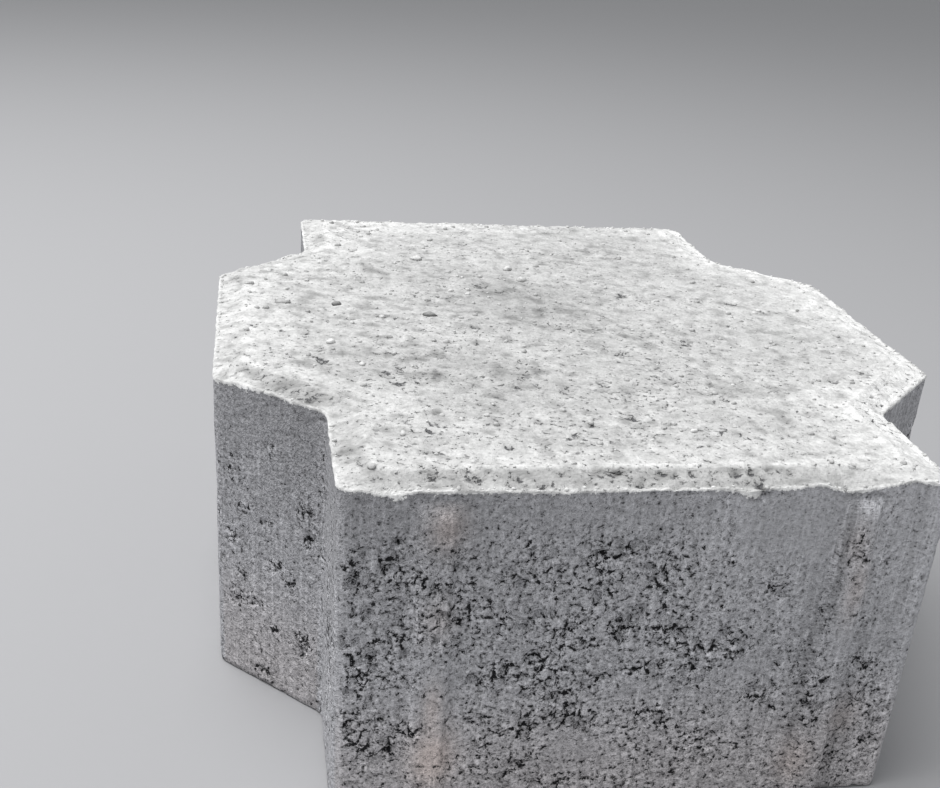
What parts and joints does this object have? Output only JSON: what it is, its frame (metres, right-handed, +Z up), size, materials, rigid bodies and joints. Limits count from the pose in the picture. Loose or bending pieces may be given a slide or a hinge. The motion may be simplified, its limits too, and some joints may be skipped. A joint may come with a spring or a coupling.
{
  "type": "concrete paving stone",
  "caption": "Thick cross-shaped interlocking concrete paving stone with slanted flanks, a shallow bevel round the wearing face and low spacer nibs on its straight ends.",
  "frame": {"origin": "centre of the bed, the underside that the stone lies on", "axes": "+Z up from the bed to the wearing face, +Y along the stone from one straight end to the other, +X across it"},
  "size_m": [0.217, 0.24, 0.1],
  "materials": {
    "concrete": "rough, porous dry-pressed concrete, paler on the wearing face"
  },
  "bodies": {
    "root": {"paving_stone": "concrete"}
  },
  "joints": []
}
